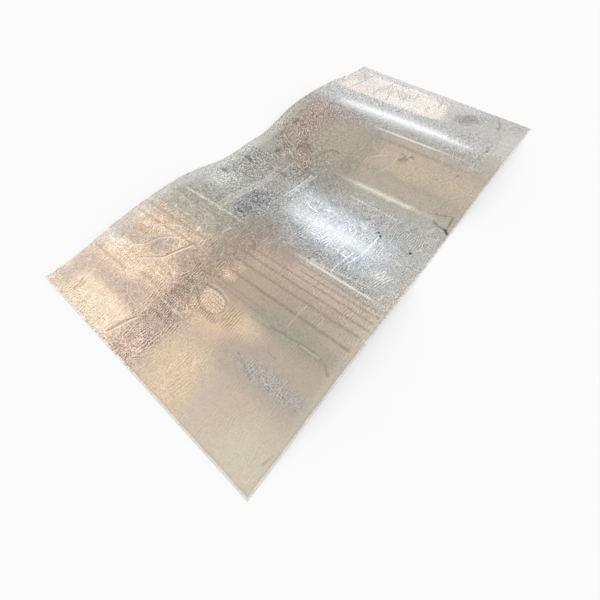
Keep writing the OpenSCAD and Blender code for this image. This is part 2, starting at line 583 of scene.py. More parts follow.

# Patches of another tone: residue, rubbed zinc, stains, broad roller lines, and painted reflections and
# highlights
PATCHES = (
    # Painted reflection on the far wave's fall: a wide pale patch with hard edges, the tones in it, a darker
    # strip beyond it and a painted halo beside the crest's highlight
    Patch((0.803, 0.178), (0.131, 0.298), (0.81, 0.74, 0.67), 1.0, turn=4, square=7, soft=0.07, grain=0.45),
    Patch((0.732, 0.06), (0.042, 0.17), (0.93, 0.85, 0.76), 0.85, turn=3, square=2.5, soft=0.6),
    Patch((0.93, 0.03), (0.025, 0.15), (0.7, 0.64, 0.6), 0.6, square=2.5, soft=0.6),
    Patch((0.9, -0.128), (0.075, 0.03), (0.55, 0.51, 0.47), 0.9, turn=10, square=2.5, soft=0.35),
    Patch((0.875, 0.435), (0.07, 0.055), (0.64, 0.57, 0.53), 0.8, soft=0.7),
    Patch((0.72, 0.47), (0.065, 0.028), (0.64, 0.6, 0.56), 0.7, square=2.5, soft=0.7),
    Patch((0.74, 0.405), (0.055, 0.03), (0.92, 0.86, 0.7), 0.5, soft=0.6),
    Patch((0.77, 0.34), (0.11, 0.035), (0.77, 0.71, 0.7), 0.6, turn=18, soft=0.6),
    Patch((0.85, 0.165), (0.075, 0.03), (0.74, 0.67, 0.65), 0.6, turn=18, soft=0.7),
    Patch((0.885, 0.245), (0.045, 0.045), (0.93, 0.85, 0.72), 0.6),
    Patch((0.8, -0.015), (0.1, 0.05), (0.9, 0.82, 0.74), 0.7, turn=5, soft=0.6),
    Patch((0.972, 0.06), (0.026, 0.48), (0.54, 0.52, 0.52), 0.9, square=8, soft=0.12, grain=0.4),
    Patch((0.62, 0.01), (0.05, 0.1), (0.51, 0.53, 0.56), 0.5, turn=5),
    Patch((0.6, 0.33), (0.045, 0.05), (0.52, 0.54, 0.53), 0.6),
    # Smooth crest of the far wave, and paler zinc before it that is a painted halo of the crest's highlight
    Patch((0.528, 0.26), (0.024, 0.085), (0.67, 0.67, 0.65), 0.85, turn=3),
    Patch((0.558, 0.04), (0.055, 0.36), (0.52, 0.52, 0.51), 0.9, turn=3.5, square=3, soft=0.5, grain=0.15),
    # In and around the bright hollow
    Patch((-0.17, -0.465), (0.2, 0.085), (0.5, 0.49, 0.46), 0.8, square=2.5, grain=0.45),
    # Painted highlight: lighter zinc at the core of the hollow's highlight
    Patch((-0.187, -0.16), (0.032, 0.22), (0.5, 0.51, 0.52), 0.9, soft=0.9, grain=0.25),
    Patch((-0.255, -0.272), (0.036, 0.058), (0.31, 0.34, 0.36), 0.85),
    # Painted highlight: darker zinc where the hollow's highlight falls off
    Patch((-0.068, -0.09), (0.03, 0.09), (0.31, 0.32, 0.32), 0.8),
    Patch((0.055, -0.035), (0.045, 0.05), (0.37, 0.34, 0.29), 0.6),
    Patch((-0.17, 0.035), (0.055, 0.045), (0.48, 0.49, 0.48), 0.7),
    # Painted highlight: darker zinc where the hollow's highlight falls off
    Patch((-0.105, -0.12), (0.032, 0.2), (0.33, 0.34, 0.34), 0.6, soft=0.9),
    Patch((-0.275, 0.18), (0.1, 0.048), (0.28, 0.28, 0.29), 0.8, turn=3, square=3.5, soft=0.35, grain=1.3),
    Patch((-0.225, 0.252), (0.165, 0.017), (0.5, 0.49, 0.45), 0.75, turn=1, square=4, soft=0.45, grain=0.4),
    Patch((-0.12, 0.178), (0.058, 0.045), (0.42, 0.41, 0.38), 0.75, square=3, soft=0.5, grain=0.35),
    Patch((-0.18, 0.31), (0.028, 0.032), (0.41, 0.41, 0.37), 0.8, soft=0.7, grain=0.25),
    Patch((-0.335, 0.425), (0.045, 0.035), (0.47, 0.46, 0.45), 0.8, square=2.5, soft=0.6, grain=0.25),
    Patch((-0.005, 0.268), (0.05, 0.045), (0.39, 0.34, 0.3), 0.75, square=2.5, soft=0.6, grain=0.3),
    Patch((-0.268, 0.385), (0.045, 0.05), (0.74, 0.74, 0.7), 0.7, turn=35, soft=0.7),
    Patch((-0.245, 0.365), (0.06, 0.065), (0.56, 0.56, 0.53), 0.5),
    Patch((-0.395, 0.012), (0.055, 0.028), (0.39, 0.31, 0.28), 0.6, turn=15),
    Patch((-0.45, 0.15), (0.06, 0.035), (0.36, 0.34, 0.28), 0.5),
    Patch((-0.21, 0.432), (0.011, 0.026), (0.2, 0.2, 0.18), 0.75, turn=-8, soft=0.6),
    Patch((-0.078, 0.415), (0.009, 0.028), (0.17, 0.16, 0.14), 0.75, turn=-12, soft=0.6),
    Patch((-0.058, 0.225), (0.008, 0.03), (0.22, 0.21, 0.18), 0.6, turn=5, soft=0.6),
    # Stain across the valley before the far wave
    Patch((0.29, 0.34), (0.17, 0.07), (0.44, 0.34, 0.3), 0.7, turn=4, square=2.5, soft=0.7, grain=1.2),
    Patch((0.105, 0.23), (0.11, 0.035), (0.41, 0.32, 0.28), 0.7, turn=28, grain=1.1),
    Patch((0.155, 0.262), (0.035, 0.02), (0.28, 0.21, 0.17), 0.7, turn=30),
    Patch((0.43, 0.26), (0.03, 0.06), (0.44, 0.36, 0.36), 0.6, grain=0.8),
    Patch((0.275, 0.16), (0.11, 0.125), (0.46, 0.4, 0.33), 0.7, square=2.5, soft=0.6, grain=0.14),
    Patch((0.015, 0.15), (0.03, 0.018), (0.3, 0.25, 0.26), 0.6, turn=10, soft=0.7),
    Patch((0.054, 0.348), (0.016, 0.012), (0.15, 0.14, 0.12), 0.85, soft=0.7),
    Patch((0.052, 0.432), (0.036, 0.05), (0.46, 0.46, 0.41), 0.85, turn=28, square=3.5, soft=0.3, grain=0.15),
    Patch((0.07, 0.41), (0.06, 0.055), (0.4, 0.4, 0.33), 0.6),
    # Tones of the near wave: rubbed and stained zinc, with painted reflection in the warm pale patches
    Patch((-0.61, -0.09), (0.15, 0.09), (0.53, 0.41, 0.29), 0.55, square=2.5, soft=0.7),
    Patch((-0.4, -0.085), (0.04, 0.07), (0.37, 0.32, 0.27), 0.7, square=2.5, soft=0.7),
    Patch((-0.62, 0.15), (0.055, 0.042), (0.47, 0.37, 0.29), 0.75, square=3, soft=0.5),
    Patch((-0.608, 0.25), (0.032, 0.04), (0.91, 0.68, 0.5), 0.8, soft=0.7),
    Patch((-0.605, 0.46), (0.025, 0.035), (0.91, 0.74, 0.56), 0.8, soft=0.7),
    Patch((-0.735, 0.37), (0.035, 0.06), (0.93, 0.74, 0.56), 0.7, soft=0.7),
    Patch((-0.73, 0.44), (0.04, 0.055), (0.97, 0.83, 0.68), 0.85, square=2.5, soft=0.6),
    Patch((-0.745, -0.075), (0.045, 0.08), (0.81, 0.59, 0.43), 0.8, soft=0.7),
    Patch((-0.5, -0.45), (0.14, 0.06), (0.55, 0.47, 0.38), 0.5, square=2.5),
    Patch((-0.9, -0.11), (0.125, 0.085), (0.76, 0.59, 0.41), 0.85, turn=12, square=2.5, soft=0.6, grain=0.32),
    Patch((-0.85, 0.32), (0.028, 0.12), (0.63, 0.5, 0.42), 0.8, turn=3, square=3, soft=0.6),
    Patch((-0.84, 0.19), (0.04, 0.06), (0.57, 0.44, 0.36), 0.7, turn=-10, square=2.5, soft=0.6),
    Patch((-0.915, 0.45), (0.065, 0.04), (0.62, 0.49, 0.42), 0.75, square=2.5, soft=0.6),
    Patch((-0.69, 0.41), (0.026, 0.1), (0.61, 0.5, 0.42), 0.75, turn=12, square=2.5, soft=0.6),
    Patch((-0.645, 0.27), (0.036, 0.05), (0.53, 0.45, 0.37), 0.8, turn=35, square=2.5, soft=0.5),
    Patch((-0.79, -0.07), (0.035, 0.08), (0.55, 0.45, 0.36), 0.4),
    Patch((-0.49, -0.05), (0.03, 0.04), (0.53, 0.43, 0.34), 0.65),
    Patch((-0.687, -0.046), (0.033, 0.046), (0.81, 0.63, 0.46), 0.8, square=2.3, soft=0.35, grain=0.45),
    Patch((-0.69, -0.15), (0.038, 0.08), (0.79, 0.6, 0.43), 0.8, turn=8, grain=0.25),
    Patch((-0.768, -0.21), (0.038, 0.06), (0.54, 0.43, 0.35), 0.7),
    Patch((-0.757, -0.345), (0.024, 0.11), (0.42, 0.41, 0.38), 0.7, turn=4, grain=0.7),
    Patch((-0.612, -0.33), (0.026, 0.13), (0.37, 0.36, 0.29), 0.6, turn=4, square=2.5, soft=0.7, grain=0.3),
    Patch((-0.582, -0.012), (0.022, 0.028), (0.71, 0.52, 0.37), 0.8, turn=10, soft=0.6),
    Patch((-0.54, -0.02), (0.018, 0.024), (0.63, 0.48, 0.37), 0.7, turn=20, soft=0.7),
    Patch((-0.93, -0.42), (0.07, 0.07), (0.66, 0.63, 0.49), 0.6),
    # Marks of the far wave's right side and of the valley before it
    Patch((0.845, -0.235), (0.08, 0.048), (0.3, 0.28, 0.27), 1.0, turn=-28, square=3, soft=0.45, grain=0.95),
    Patch((0.935, -0.12), (0.03, 0.13), (0.5, 0.48, 0.46), 0.8, square=2.5, soft=0.6),
    Patch((0.915, -0.295), (0.05, 0.045), (0.44, 0.42, 0.4), 0.6),
    Patch((0.76, -0.466), (0.19, 0.044), (0.57, 0.54, 0.5), 0.85, square=4, soft=0.45, grain=0.12),
    Patch((0.52, -0.458), (0.07, 0.044), (0.5, 0.45, 0.4), 0.8, square=3, soft=0.5, grain=0.18),
    Patch((0.775, -0.31), (0.05, 0.05), (0.51, 0.47, 0.45), 0.6),
    Patch((0.65, -0.27), (0.06, 0.045), (0.43, 0.43, 0.41), 0.6, grain=0.9),
    Patch((0.94, -0.31), (0.035, 0.04), (0.44, 0.44, 0.42), 0.5),
    Patch((0.29, -0.215), (0.085, 0.06), (0.58, 0.48, 0.36), 0.6, turn=10, soft=0.9),
    Patch((0.31, -0.15), (0.022, 0.014), (0.38, 0.32, 0.24), 0.7, turn=-30),
    Patch((0.178, 0.03), (0.035, 0.04), (0.34, 0.33, 0.26), 0.7, turn=-30),
    # Pale strips along the long edges: painted reflection of the edges
    Patch((-0.25, 0.495), (0.56, 0.05), (0.66, 0.65, 0.61), 0.7, square=5, soft=0.5, grain=0.45),
    Patch((-0.55, -0.497), (0.4, 0.028), (0.62, 0.55, 0.46), 0.5, square=4, soft=0.6),
    # Broad soft roller lines: the pale ones are painted highlights of creases, the dark ones painted
    # reflection
    Patch((0.113, -0.195), (0.012, 0.16), (0.75, 0.69, 0.56), 0.9, turn=3.5, soft=0.9, grain=0.2),
    Patch((0.45, -0.12), (0.007, 0.16), (0.8, 0.73, 0.62), 0.85, turn=5, grain=0.2),
    Patch((0.21, -0.24), (0.014, 0.25), (0.38, 0.36, 0.29), 0.45, turn=1, soft=0.7),
    Patch((0.39, -0.18), (0.01, 0.21), (0.34, 0.29, 0.23), 0.6, turn=3.8, soft=0.7),
    Patch((0.026, -0.21), (0.006, 0.13), (0.64, 0.63, 0.6), 0.7, turn=2, soft=0.7),
    Patch((-0.367, -0.3), (0.0055, 0.14), (0.76, 0.69, 0.6), 0.85, turn=3, square=2.2, grain=0.1),
    Patch((-0.343, -0.3), (0.0048, 0.12), (0.66, 0.64, 0.61), 0.75, turn=11, grain=0.2),
    Patch((-0.399, 0.29), (0.0065, 0.16), (0.62, 0.59, 0.51), 0.8, turn=2.5, square=2.2, soft=0.6),
)

# Narrow dark lines across the near wave: painted reflection of dark stripes in the surroundings
PAINTED_STRIPE_REFLECTIONS = strokes(
    Mark.SMEARED,
    (0.009, 0.36, (-0.798, 0.48), (-0.797, 0.4), (-0.792, 0.3)),
    (0.012, 0.17, (-0.722, 0.45), (-0.702, 0.4), (-0.69, 0.33)),
    (0.009, 0.12, (-0.657, 0.48), (-0.65, 0.3)),
    (0.0105, 0.38, (-0.602, 0.48), (-0.593, 0.38), (-0.583, 0.26), (-0.58, 0.18)),
    (0.0105, 0.38, (-0.552, 0.48), (-0.541, 0.3), (-0.533, 0.16)),
    (0.0075, 0.2, (-0.512, 0.44), (-0.504, 0.15)),
    (0.0075, 0.2, (-0.474, 0.4), (-0.463, 0.15)),
    (0.0075, 0.2, (-0.44, 0.4), (-0.43, 0.12)),
    (0.0075, 0.21, (-0.63, 0.02), (-0.622, -0.2)),
    (0.0075, 0.21, (-0.614, 0.02), (-0.606, -0.2)),
    (0.009, 0.5, (-0.568, 0.0), (-0.559, -0.2), (-0.545, -0.47)),
    (0.009, 0.44, (-0.524, 0.02), (-0.513, -0.15), (-0.493, -0.47)),
    (0.0075, 0.5, (-0.486, 0.02), (-0.475, -0.19), (-0.459, -0.48)),
    (0.0075, 0.44, (-0.458, 0.02), (-0.447, -0.15), (-0.43, -0.48)),
    (0.0075, 0.5, (-0.442, -0.24), (-0.432, -0.4)),
    (0.0075, 0.5, (-0.421, -0.19), (-0.412, -0.35), (-0.403, -0.48)),
    (0.0075, 0.41, (-0.397, -0.16), (-0.39, -0.34), (-0.385, -0.46)),
)
# Swept scuffs, folds and drips of the near wave
NEAR_MARKS = (
    strokes(
        Mark.SMEARED,
        (0.0042, 0.52, (-0.735, 0.024), (-0.7, 0.036), (-0.681, 0.048), (-0.657, 0.019),
         (-0.65, -0.019), (-0.651, -0.058), (-0.662, -0.082), (-0.686, -0.094), (-0.71, -0.086),
         (-0.724, -0.058), (-0.725, -0.024), (-0.712, 0.0), (-0.7, 0.025)),
        (0.0092, 0.52, (-0.711, 0.154), (-0.707, 0.154)),
        (0.0046, 0.45, (-0.963, 0.157), (-0.903, 0.141)),
        (0.0081, 0.52, (-0.95, 0.376), (-0.911, 0.389)),
        (0.0081, 0.45, (-0.932, 0.37), (-0.912, 0.373)),
        (0.0035, 0.26, (-0.823, 0.238), (-0.841, 0.212), (-0.848, 0.178)),
        (0.0046, 0.34, (-0.795, 0.095), (-0.793, -0.005)),
        (0.0046, 0.37, (-0.777, 0.095), (-0.776, -0.005)),
        (0.0035, 0.34, (-0.775, 0.093), (-0.686, 0.091), (-0.6, 0.104)),
        (0.0055, 0.36, (-0.747, 0.024), (-0.678, 0.047), (-0.655, 0.03)),
        (0.005, 0.3, (-0.7, 0.028), (-0.716, -0.035)),
        (0.0046, 0.26, (-0.769, 0.02), (-0.745, -0.02), (-0.733, -0.035)),
        (0.005, 0.45, (-0.655, 0.02), (-0.651, -0.05), (-0.663, -0.088)),
        (0.0046, 0.42, (-0.752, -0.223), (-0.765, -0.262), (-0.782, -0.3)),
        (0.0046, 0.26, (-0.675, -0.276), (-0.697, -0.298), (-0.695, -0.323)),
        (0.0058, 0.45, (-0.633, -0.244), (-0.62, -0.337), (-0.612, -0.4), (-0.618, -0.44),
         (-0.64, -0.47)),
        (0.0058, 0.34, (-0.628, -0.36), (-0.622, -0.45)),
        (0.0069, 0.59, (-0.581, -0.167), (-0.579, -0.168)),
        (0.0046, 0.34, (-0.647, -0.175), (-0.64, -0.25)),
        (0.0069, 0.34, (-0.915, -0.476), (-0.886, -0.482)),
        (0.0046, 0.26, (-0.54, -0.255), (-0.515, -0.28)),
    )
    + strokes(
        Mark.RUBBED,
        (0.0042, 0.55, (-0.664, 0.012), (-0.658, -0.02), (-0.66, -0.056), (-0.672, -0.08)),
        (0.004, 0.4, (-0.644, 0.005), (-0.642, -0.045), (-0.652, -0.082)),
        (0.0058, 0.66, (-0.633, 0.389), (-0.6, 0.352), (-0.575, 0.316), (-0.554, 0.279)),
        (0.0069, 0.8, (-0.905, 0.384), (-0.863, 0.391)),
        (0.0115, 0.8, (-0.917, 0.4), (-0.911, 0.415)),
        (0.0046, 0.34, (-0.828, 0.24), (-0.846, 0.214), (-0.853, 0.179), (-0.85, 0.143)),
        (0.0046, 0.3, (-0.818, 0.236), (-0.836, 0.21), (-0.843, 0.178), (-0.84, 0.143)),
        (0.0046, 0.37, (-0.775, 0.215), (-0.773, 0.17), (-0.783, 0.125), (-0.786, 0.095)),
        (0.0046, 0.34, (-0.785, 0.095), (-0.784, -0.01)),
        (0.0046, 0.3, (-0.621, -0.355), (-0.616, -0.42)),
        (0.0046, 0.26, (-0.595, -0.285), (-0.51, -0.287)),
    )
    + strokes(
        Mark.CREASED,
        (0.0058, 0.66, (-0.715, 0.35), (-0.686, 0.32), (-0.64, 0.3), (-0.608, 0.27), (-0.59, 0.24)),
        (0.0069, 0.9, (-0.73, 0.282), (-0.686, 0.222), (-0.645, 0.204), (-0.584, 0.176)),
        (0.0058, 0.66, (-0.69, 0.218), (-0.69, 0.179), (-0.697, 0.144), (-0.722, 0.116),
         (-0.71, 0.1)),
        (0.0058, 0.8, (-0.967, 0.146), (-0.908, 0.129), (-0.879, 0.115)),
        (0.0046, 0.34, (-0.875, 0.123), (-0.786, 0.121)),
    )
)
# Scratches and specks of the bright hollow between the waves
HOLLOW_MARKS = (
    strokes(
        Mark.SMEARED,
        (0.0044, 0.34, (-0.26, -0.12), (-0.229, -0.13), (-0.19, -0.137)),
        (0.0066, 0.51, (-0.125, -0.046), (-0.112, -0.042)),
        (0.011, 0.3, (-0.265, -0.065), (-0.235, -0.055)),
        (0.0066, 0.42, (-0.138, -0.228), (-0.125, -0.226)),
        (0.0066, 0.62, (-0.1655, 0.365), (-0.1645, 0.275)),
        (0.005, 0.5, (-0.298, 0.285), (-0.296, 0.232)),
        (0.006, 0.55, (-0.062, 0.29), (-0.058, 0.2)),
        (0.0055, 0.5, (-0.036, 0.345), (-0.038, 0.31)),
        (0.0055, 0.55, (-0.048, 0.14), (-0.042, 0.108)),
    )
    + strokes(
        Mark.RUBBED,
        (0.004, 0.61, (-0.362, -0.268), (-0.315, -0.265), (-0.229, -0.271)),
        (0.004, 0.5, (-0.292, -0.283), (-0.265, -0.291), (-0.179, -0.299), (-0.092, -0.297)),
        (0.004, 0.59, (-0.308, -0.305), (-0.29, -0.294)),
        (0.005, 0.55, (-0.373, -0.18), (-0.367, -0.3), (-0.361, -0.42)),
        (0.004, 0.43, (-0.262, -0.24), (-0.264, -0.268)),
        (0.004, 0.69, (-0.347, -0.446), (-0.318, -0.452)),
        (0.004, 0.69, (-0.118, 0.03), (-0.134, 0.005), (-0.137, -0.034)),
        (0.0079, 0.58, (-0.103, -0.063), (-0.101, -0.069)),
        (0.0045, 0.72, (-0.272, -0.395), (-0.235, -0.412)),
        (0.0045, 0.72, (-0.272, -0.408), (-0.228, -0.427)),
        (0.0045, 0.72, (-0.272, -0.422), (-0.23, -0.439)),
        (0.0045, 0.72, (-0.262, -0.385), (-0.22, -0.402)),
        (0.004, 0.51, (-0.155, -0.428), (-0.148, -0.405)),
        (0.0042, 0.36, (-0.385, 0.263), (-0.25, 0.266), (-0.14, 0.262), (-0.02, 0.262)),
        (0.0042, 0.36, (-0.38, 0.238), (-0.2, 0.241), (-0.06, 0.236), (0.04, 0.234)),
        (0.0045, 0.72, (-0.16, 0.127), (-0.105, 0.122), (-0.06, 0.118), (0.015, 0.117)),
        (0.004, 0.34, (-0.165, 0.108), (-0.09, 0.106), (0.02, 0.109)),
    )
    + strokes(
        Mark.CREASED,
        (0.0055, 0.51, (-0.048, 0.105), (-0.046, 0.128), (-0.02, 0.106), (0.03, 0.1)),
    )
    + strokes(
        Mark.PITTED,
        (0.008, 1.0, (-0.086, -0.302), (-0.082, -0.3)),
        (0.0072, 1.0, (-0.075, -0.284), (-0.072, -0.286)),
        (0.008, 1.0, (-0.084, -0.426), (-0.08, -0.428)),
    )
)
# Scratches, folds and specks of the far wave
FAR_MARKS = (
    strokes(
        Mark.SMEARED,
        (0.0088, 0.9, (0.113, 0.36), (0.098, 0.318)),
        (0.01, 0.83, (0.047, 0.275), (0.053, 0.255)),
        (0.0112, 1.0, (0.121, 0.289), (0.15, 0.284)),
        (0.0075, 0.95, (0.167, 0.265), (0.142, 0.218)),
        (0.01, 0.74, (0.246, 0.37), (0.262, 0.342)),
        (0.0125, 1.0, (0.187, 0.287), (0.189, 0.287)),
        (0.0063, 0.83, (0.153, 0.178), (0.178, 0.164), (0.199, 0.143), (0.204, 0.12),
         (0.197, 0.104)),
        (0.0112, 0.95, (0.335, 0.338), (0.337, 0.338)),
        (0.0125, 0.83, (0.238, 0.408), (0.262, 0.404)),
        (0.01, 0.6, (0.305, -0.14), (0.335, -0.155), (0.345, -0.13)),
        (0.0085, 0.8, (0.31, -0.165), (0.34, -0.165), (0.352, -0.175), (0.345, -0.185)),
        (0.005, 0.28, (0.24, -0.215), (0.27, -0.228), (0.3, -0.225), (0.335, -0.238)),
        (0.005, 0.26, (0.255, -0.03), (0.3, -0.04), (0.34, -0.034), (0.375, -0.045)),
        (0.006, 0.32, (0.215, 0.06), (0.26, 0.05), (0.3, 0.075)),
        (0.0075, 1.0, (0.36, -0.382), (0.364, -0.382)),
        (0.0063, 0.83, (0.296, -0.323), (0.3, -0.323)),
        (0.005, 0.69, (0.386, -0.115), (0.4, -0.105)),
        (0.0075, 0.95, (0.115, -0.42), (0.103, -0.445), (0.1, -0.468)),
        (0.0063, 0.95, (0.1, -0.478), (0.13, -0.476), (0.175, -0.47)),
        (0.0075, 0.55, (0.153, -0.409), (0.16, -0.435), (0.172, -0.46)),
        (0.01, 0.3, (0.79, -0.215), (0.85, -0.225), (0.9, -0.215)),
        (0.01, 0.26, (0.81, -0.25), (0.86, -0.245), (0.895, -0.252)),
        (0.0075, 0.59, (0.88, -0.38), (0.93, -0.368), (0.979, -0.338)),
        (0.0075, 0.49, (0.912, -0.445), (0.922, -0.42), (0.95, -0.432), (0.957, -0.455),
         (0.935, -0.48)),
        (0.0075, 0.39, (0.875, -0.47), (0.89, -0.45), (0.905, -0.46)),
        (0.0088, 0.59, (0.59, -0.405), (0.615, -0.412), (0.64, -0.4)),
        (0.0088, 0.49, (0.52, -0.405), (0.545, -0.4)),
        (0.0094, 0.52, (0.76, 0.385), (0.84, 0.385), (0.9, 0.43)),
        (0.0094, 0.52, (0.7, 0.255), (0.76, 0.262), (0.86, 0.245), (0.93, 0.255)),
        (0.0084, 0.52, (0.79, 0.205), (0.85, 0.195), (0.93, 0.23)),
        (0.0075, 0.44, (0.69, 0.165), (0.74, 0.18), (0.8, 0.2)),
        (0.0084, 0.52, (0.78, 0.11), (0.83, 0.12), (0.87, 0.15)),
        (0.0084, 0.58, (0.82, 0.095), (0.87, 0.11)),
        (0.0094, 0.44, (0.83, 0.07), (0.9, 0.075)),
        (0.0084, 0.44, (0.75, -0.035), (0.8, -0.03), (0.83, -0.02)),
        (0.0094, 0.58, (0.85, -0.055), (0.88, -0.062), (0.93, -0.05)),
        (0.0094, 0.66, (0.948, 0.25), (0.943, 0.215), (0.95, 0.18)),
        (0.006, 0.45, (0.8, 0.216), (0.89, 0.25)),
        (0.006, 0.45, (0.738, 0.182), (0.82, 0.196), (0.902, 0.233)),
        (0.006, 0.52, (0.766, 0.12), (0.81, 0.15), (0.868, 0.19)),
        (0.0055, 0.52, (0.777, 0.106), (0.845, 0.159)),
        (0.0055, 0.58, (0.789, 0.1), (0.868, 0.131)),
        (0.0075, 0.45, (0.834, 0.08), (0.88, 0.074), (0.914, 0.085)),
        (0.0067, 0.39, (0.709, 0.023), (0.777, 0.034)),
        (0.0067, 0.52, (0.749, -0.04), (0.794, -0.017)),
        (0.0067, 0.6, (0.857, -0.062), (0.9, -0.06), (0.948, -0.045)),
        (0.006, 0.52, (0.703, 0.386), (0.789, 0.389)),
        (0.0083, 0.52, (0.868, 0.409), (0.919, 0.392)),
        (0.006, 0.39, (0.72, 0.3), (0.76, 0.318)),
        (0.0067, 0.52, (0.745, 0.262), (0.775, 0.268), (0.8, 0.262)),
        (0.0064, 0.49, (0.7, 0.243), (0.76, 0.285), (0.83, 0.325)),
        (0.0064, 0.44, (0.735, 0.262), (0.8, 0.27), (0.87, 0.262)),
        (0.0064, 0.44, (0.76, 0.24), (0.83, 0.238), (0.905, 0.262)),
        (0.0064, 0.41, (0.77, 0.2), (0.85, 0.212), (0.93, 0.262)),
        (0.0064, 0.41, (0.86, 0.155), (0.905, 0.178), (0.935, 0.2)),
        (0.0064, 0.41, (0.755, 0.095), (0.8, 0.118), (0.85, 0.13)),
    )
    + strokes(
        Mark.RUBBED,
        (0.0057, 0.38, (0.055, 0.255), (0.095, 0.318)),
        # The next two strokes are painted highlights along the roller creases at 0.11 and 0.45 along the
        # sheet
        (0.0055, 0.5, (0.105, -0.07), (0.113, -0.195), (0.121, -0.31)),
        (0.006, 0.55, (0.44, -0.005), (0.45, -0.12), (0.46, -0.235)),
        (0.0045, 0.38, (0.33, -0.16), (0.368, -0.157)),
        (0.005, 0.22, (0.2, -0.1), (0.26, -0.13), (0.33, -0.12)),
        (0.0057, 0.25, (0.395, -0.295), (0.43, -0.275)),
        (0.0079, 0.38, (0.585, -0.42), (0.6, -0.4)),
        (0.0055, 0.6, (0.745, 0.172), (0.83, 0.186), (0.905, 0.222)),
        (0.0055, 0.68, (0.72, 0.11), (0.8, 0.165), (0.85, 0.2)),
        (0.0067, 0.6, (0.74, -0.062), (0.83, -0.045), (0.9, -0.07)),
    )
    + strokes(
        Mark.CREASED,
        (0.0067, 0.29, (0.262, -0.03), (0.3, -0.08)),
        (0.012, 0.16, (0.75, -0.2), (0.805, -0.25), (0.862, -0.303), (0.915, -0.255)),
        (0.006, 0.4, (0.738, -0.408), (0.742, -0.45), (0.752, -0.492)),
        (0.006, 0.4, (0.623, -0.44), (0.622, -0.465), (0.63, -0.497)),
        (0.0055, 0.3, (0.688, -0.45), (0.704, -0.49)),
        (0.0056, 0.72, (0.69, 0.25), (0.76, 0.29), (0.822, 0.322)),
    )
    + strokes(
        Mark.PITTED,
        (0.0095, 0.9, (0.087, -0.488), (0.1, -0.472)),
        (0.0125, 0.6, (0.868, -0.377), (0.876, -0.374)),
        (0.011, 0.45, (0.6, -0.408), (0.608, -0.412)),
    )
)

# Faint rows of dots and bars that soles left
TREADS = (
    Tread((-0.686, -0.058), (0.03, 0.036), (0.01, 0.009), 1.15),
    Tread((-0.69, -0.128), (0.036, 0.036), (0.0, 0.0098), 0.8),
    Tread((-0.728, -0.06), (0.012, 0.045), (0.0, 0.0085)),
    Tread((-0.766, 0.185), (0.011, 0.055), (0.0, 0.0075)),
    Tread((-0.793, 0.16), (0.012, 0.06), (0.0, 0.0085), 0.8),
    Tread((-0.825, 0.045), (0.03, 0.055), (0.027, 0.0095)),
    Tread((-0.715, 0.072), (0.045, 0.03), (0.03, 0.0085)),
    Tread((-0.753, 0.35), (0.034, 0.058), (0.0125, 0.0115), 0.6),
    Tread((-0.745, 0.185), (0.055, 0.058), (0.0135, 0.011), 0.6),
    Tread((0.365, 0.275), (0.05, 0.035), (0.011, 0.011), 0.9),
)

# Places where the sheet bulges or sinks a little between its waves
DENTS = (
    Dent((-0.124, -0.281), 0.003, 0.197),
    Dent((-0.56, 0.25), -0.0009, 0.15),
    Dent((-0.76, -0.05), -0.001, 0.18),
    Dent((0.29, 0.28), 0.001, 0.115),
    Dent((0.82, 0.12), 0.0009, 0.15),
    Dent((0.72, -0.3), -0.0012, 0.17),
)
# Short fold at the right edge
FOLD = (
    Dent((0.1, -0.48), 0.0045, 0.04),
    Dent((0.112, -0.44), 0.0018, 0.03),
)


